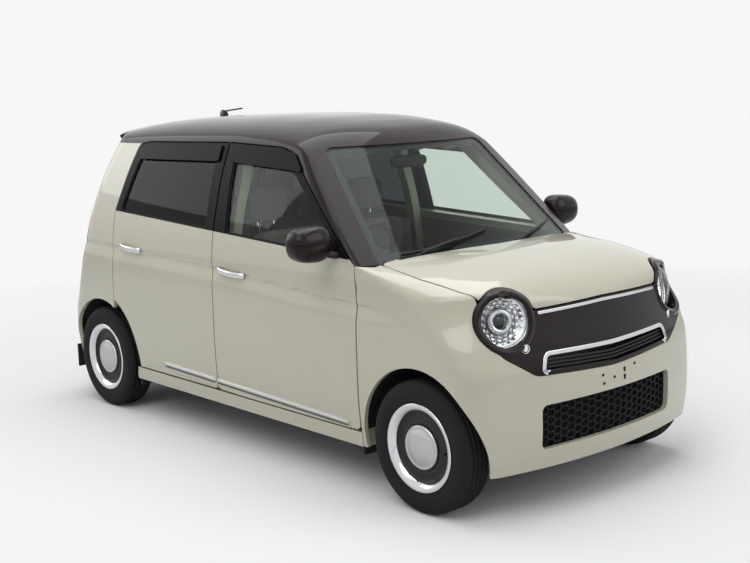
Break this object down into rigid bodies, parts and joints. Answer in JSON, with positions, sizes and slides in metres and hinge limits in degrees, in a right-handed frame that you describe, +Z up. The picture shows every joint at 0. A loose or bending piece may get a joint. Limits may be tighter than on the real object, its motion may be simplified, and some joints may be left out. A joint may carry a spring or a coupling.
{
  "type": "kei car",
  "caption": "Small two-tone hatchback with round headlamps, opening doors, bonnet and tailgate, steered front wheels and a furnished cabin",
  "frame": {"origin": "on the ground, halfway along the length and the width", "axes": "+X forward, +Y to the car's left, +Z up"},
  "size_m": [3.3945, 1.81, 1.6303],
  "materials": {
    "body": "gloss",
    "roof": "gloss metallic",
    "frame": "satin",
    "glass": "clear",
    "dark_glass": "tinted",
    "lamp_red": "gloss",
    "lamp_clear": "clear",
    "dark_panel": "gloss",
    "bright": "polished",
    "plastic": "matt",
    "seat": "woven",
    "engine": "cast",
    "iron": "matt",
    "tyre": "matt",
    "rim": "painted silver"
  },
  "bodies": {
    "body": {"quarter_left": "body", "quarter_right": "body", "rear_bumper": "body", "fender_left": "body", "fender_right": "body", "front_bumper": "body", "roof_panel": "roof", "side_frame_left": "frame", "side_frame_right": "frame", "front_frame": "frame", "firewall": "frame", "cowl_panel": "frame", "floor_pan": "frame", "windscreen": "glass", "tail_lamp_left": "lamp_red", "tail_lamp_right": "lamp_red", "headlamp_left": "lamp_clear", "headlamp_right": "lamp_clear", "grille_panel": "dark_panel", "grille_mouldings": "bright", "lower_grille": "plastic", "arch_liners": "plastic", "dashboard": "plastic", "antenna": "plastic", "fuel_tank": "plastic", "front_seats": "seat", "rear_seat": "seat", "engine_block": "engine", "front_suspension": "iron", "strut_left": "iron", "strut_right": "iron", "rear_axle": "iron", "exhaust": "iron"},
    "door_front_left": {"door_front_left": "body", "glass_front_left": "glass", "mirror_left": "roof"},
    "door_rear_left": {"door_rear_left": "body", "glass_rear_left": "dark_glass"},
    "knuckle_left": {"knuckle_left": "iron"},
    "wheel_front_left": {"tyre_front_left": "tyre", "rim_front_left": "rim"},
    "wheel_rear_left": {"tyre_rear_left": "tyre", "rim_rear_left": "rim"},
    "door_front_right": {"door_front_right": "body", "glass_front_right": "glass", "mirror_right": "roof"},
    "door_rear_right": {"door_rear_right": "body", "glass_rear_right": "dark_glass"},
    "knuckle_right": {"knuckle_right": "iron"},
    "wheel_front_right": {"tyre_front_right": "tyre", "rim_front_right": "rim"},
    "wheel_rear_right": {"tyre_rear_right": "tyre", "rim_rear_right": "rim"},
    "tailgate": {"tailgate": "body", "tailgate_glass": "dark_glass", "tailgate_spoiler": "roof"},
    "bonnet": {"bonnet": "body"},
    "steering_wheel": {"steering_wheel": "plastic"}
  },
  "joints": [
    {"name": "door_front_left_hinge", "type": "hinge", "parent": "body", "child": "door_front_left", "pos_m": [0.825, 0.7155, 0.61], "axis": [0, 0, -1], "range_deg": [0, 68]},
    {"name": "door_rear_left_hinge", "type": "hinge", "parent": "body", "child": "door_rear_left", "pos_m": [-0.235, 0.7155, 0.61], "axis": [0, 0, -1], "range_deg": [0, 72]},
    {"name": "steer_left", "type": "hinge", "parent": "body", "child": "knuckle_left", "pos_m": [1.2625, 0.592, 0.2785], "axis": [0, 0, 1], "range_deg": [-35, 35]},
    {"name": "wheel_front_left_spin", "type": "hinge", "parent": "knuckle_left", "child": "wheel_front_left", "pos_m": [1.2625, 0.6525, 0.2785], "axis": [0, 1, 0], "continuous": true},
    {"name": "wheel_rear_left_spin", "type": "hinge", "parent": "body", "child": "wheel_rear_left", "pos_m": [-1.2575, 0.6525, 0.2785], "axis": [0, 1, 0], "continuous": true},
    {"name": "door_front_right_hinge", "type": "hinge", "parent": "body", "child": "door_front_right", "pos_m": [0.825, -0.7155, 0.61], "axis": [0, 0, 1], "range_deg": [0, 68]},
    {"name": "door_rear_right_hinge", "type": "hinge", "parent": "body", "child": "door_rear_right", "pos_m": [-0.235, -0.7155, 0.61], "axis": [0, 0, 1], "range_deg": [0, 72]},
    {"name": "steer_right", "type": "hinge", "parent": "body", "child": "knuckle_right", "pos_m": [1.2625, -0.592, 0.2785], "axis": [0, 0, 1], "range_deg": [-35, 35]},
    {"name": "wheel_front_right_spin", "type": "hinge", "parent": "knuckle_right", "child": "wheel_front_right", "pos_m": [1.2625, -0.6525, 0.2785], "axis": [0, 1, 0], "continuous": true},
    {"name": "wheel_rear_right_spin", "type": "hinge", "parent": "body", "child": "wheel_rear_right", "pos_m": [-1.2575, -0.6525, 0.2785], "axis": [0, 1, 0], "continuous": true},
    {"name": "bonnet_hinge", "type": "hinge", "parent": "body", "child": "bonnet", "pos_m": [0.95, 0, 0.96], "axis": [0, -1, 0], "range_deg": [0, 46]},
    {"name": "tailgate_hinge", "type": "hinge", "parent": "body", "child": "tailgate", "pos_m": [-1.225, 0, 1.537], "axis": [0, 1, 0], "range_deg": [0, 78]},
    {"name": "steering_wheel_turn", "type": "hinge", "parent": "body", "child": "steering_wheel", "pos_m": [0.505, -0.33, 0.95], "axis": [-0.891, 0, 0.454], "range_deg": [-540, 540]}
  ],
  "couplings": [
    {"joint": "steer_right", "follows": "steer_left", "ratio": 1},
    {"joint": "steering_wheel_turn", "follows": "steer_left", "ratio": 15}
  ]
}
